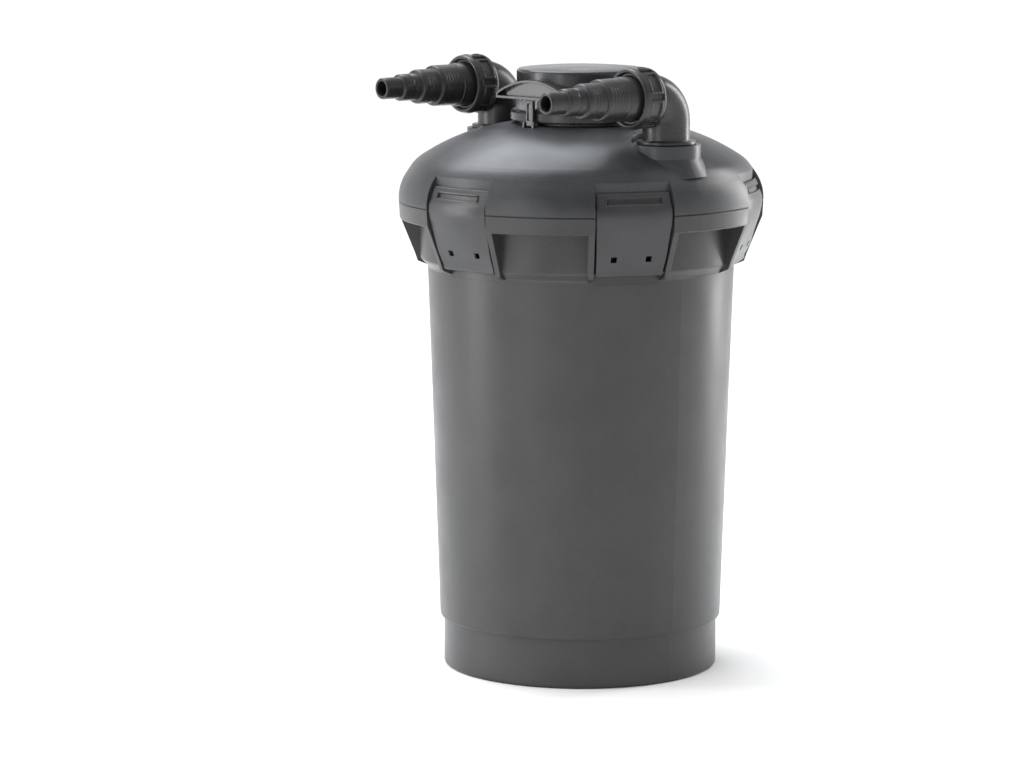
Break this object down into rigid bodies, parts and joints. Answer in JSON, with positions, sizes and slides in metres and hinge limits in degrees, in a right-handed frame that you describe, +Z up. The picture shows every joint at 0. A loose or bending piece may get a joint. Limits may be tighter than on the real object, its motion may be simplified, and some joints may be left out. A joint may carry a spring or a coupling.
{
  "type": "pressurized pond filter",
  "caption": "Round pressurized pond filter with a clamped domed lid, a twist-off UVC head and two swivelling stepped hose tails",
  "frame": {"origin": "middle of the tank's foot, on the surface it stands on", "axes": "+Z up; the two ports stand on the X axis; both nozzles point along -Y"},
  "size_m": [0.34, 0.3384, 0.5685],
  "materials": {
    "tank_plastic": "satin",
    "lid_plastic": "satin",
    "clamp_plastic": "satin",
    "head_plastic": "satin",
    "gland_plastic": "satin",
    "window_plastic": "gloss",
    "seal_rubber": "matte",
    "steel_pin": "satin",
    "grid_plastic": "matte",
    "coarse_foam": "matte",
    "medium_foam": "matte",
    "fine_foam": "matte",
    "quartz": "gloss",
    "lamp_plastic": "satin",
    "elbow_plastic": "satin",
    "tail_plastic": "satin",
    "nut_plastic": "satin"
  },
  "bodies": {
    "base": {"tank": "tank_plastic", "lid": "lid_plastic", "lid_seal": "seal_rubber", "catch_pin": "steel_pin", "bottom_grid": "grid_plastic", "chamber_tube": "grid_plastic", "foam_1_coarse": "coarse_foam", "foam_2_coarse": "coarse_foam", "foam_3_medium": "medium_foam", "foam_4_fine": "fine_foam", "top_grid": "grid_plastic", "outlet_duct": "grid_plastic"},
    "clamp_1": {"clamp_1": "clamp_plastic"},
    "clamp_2": {"clamp_2": "clamp_plastic"},
    "clamp_3": {"clamp_3": "clamp_plastic"},
    "clamp_4": {"clamp_4": "clamp_plastic"},
    "clamp_5": {"clamp_5": "clamp_plastic"},
    "clamp_6": {"clamp_6": "clamp_plastic"},
    "inlet_elbow": {"inlet_elbow": "elbow_plastic", "inlet_elbow_seal": "seal_rubber", "inlet_retaining_ring": "steel_pin"},
    "inlet_tail": {"inlet_hose_tail": "tail_plastic", "inlet_gasket": "seal_rubber"},
    "inlet_nut": {"inlet_union_nut": "nut_plastic"},
    "outlet_elbow": {"outlet_elbow": "elbow_plastic", "outlet_elbow_seal": "seal_rubber", "outlet_retaining_ring": "steel_pin"},
    "outlet_tail": {"outlet_hose_tail": "tail_plastic", "outlet_gasket": "seal_rubber"},
    "outlet_nut": {"outlet_union_nut": "nut_plastic"},
    "uvc_head": {"head_base": "head_plastic", "head_seal": "seal_rubber", "indicator_window": "window_plastic", "head_cover": "head_plastic", "cable_gland": "gland_plastic", "quartz_sleeve": "quartz", "sleeve_seal": "seal_rubber", "sleeve_nut": "grid_plastic", "lamp_holder": "lamp_plastic", "lamp_base": "lamp_plastic", "lamp_tube": "quartz", "ballast": "lamp_plastic"},
    "head_catch": {"head_catch": "head_plastic"}
  },
  "joints": [
    {"name": "clamp_1_hinge", "type": "hinge", "parent": "base", "child": "clamp_1", "pos_m": [0.01787, -0.14551, 0.3855], "axis": [0.9925, 0.1219, 0], "range_deg": [0, 120]},
    {"name": "clamp_2_hinge", "type": "hinge", "parent": "base", "child": "clamp_2", "pos_m": [0.13495, -0.05728, 0.3855], "axis": [0.3907, 0.9205, 0], "range_deg": [0, 120]},
    {"name": "clamp_3_hinge", "type": "hinge", "parent": "base", "child": "clamp_3", "pos_m": [0.11708, 0.08823, 0.3855], "axis": [-0.6018, 0.7986, 0], "range_deg": [0, 120]},
    {"name": "clamp_4_hinge", "type": "hinge", "parent": "base", "child": "clamp_4", "pos_m": [-0.01787, 0.14551, 0.3855], "axis": [-0.9925, -0.1219, 0], "range_deg": [0, 120]},
    {"name": "clamp_5_hinge", "type": "hinge", "parent": "base", "child": "clamp_5", "pos_m": [-0.13495, 0.05728, 0.3855], "axis": [-0.3907, -0.9205, 0], "range_deg": [0, 120]},
    {"name": "clamp_6_hinge", "type": "hinge", "parent": "base", "child": "clamp_6", "pos_m": [-0.11708, -0.08823, 0.3855], "axis": [0.6018, -0.7986, 0], "range_deg": [0, 120]},
    {"name": "inlet_elbow_swivel", "type": "hinge", "parent": "base", "child": "inlet_elbow", "pos_m": [0.12, 0, 0.4965], "axis": [0, 0, 1], "range_deg": [-20, 200]},
    {"name": "inlet_nut_turn", "type": "hinge", "parent": "inlet_tail", "child": "inlet_nut", "pos_m": [0.12, -0.035, 0.541], "axis": [0, -1, 0], "range_deg": [0, 1080]},
    {"name": "inlet_tail_slide", "type": "slide", "parent": "inlet_elbow", "child": "inlet_tail", "axis": [0, -1, 0], "range_m": [0, 0.009]},
    {"name": "outlet_elbow_swivel", "type": "hinge", "parent": "base", "child": "outlet_elbow", "pos_m": [-0.12, 0, 0.4965], "axis": [0, 0, 1], "range_deg": [-200, 20]},
    {"name": "outlet_nut_turn", "type": "hinge", "parent": "outlet_tail", "child": "outlet_nut", "pos_m": [-0.12, -0.035, 0.541], "axis": [0, -1, 0], "range_deg": [0, 1080]},
    {"name": "outlet_tail_slide", "type": "slide", "parent": "outlet_elbow", "child": "outlet_tail", "axis": [0, -1, 0], "range_m": [0, 0.009]},
    {"name": "head_twist", "type": "hinge", "parent": "base", "child": "uvc_head", "pos_m": [0, 0, 0.505], "axis": [0, 0, 1], "range_deg": [0, 30]},
    {"name": "head_catch_hinge", "type": "hinge", "parent": "base", "child": "head_catch", "pos_m": [0.00831, -0.06769, 0.512], "axis": [0.9925, 0.1219, 0], "range_deg": [0, 14], "stiffness_Nm_per_rad": 0.05, "springref_deg": -11.46}
  ],
  "couplings": [
    {"joint": "inlet_tail_slide", "follows": "inlet_nut_turn", "m_per_rad": 0.0004774},
    {"joint": "outlet_tail_slide", "follows": "outlet_nut_turn", "m_per_rad": 0.0004774}
  ]
}
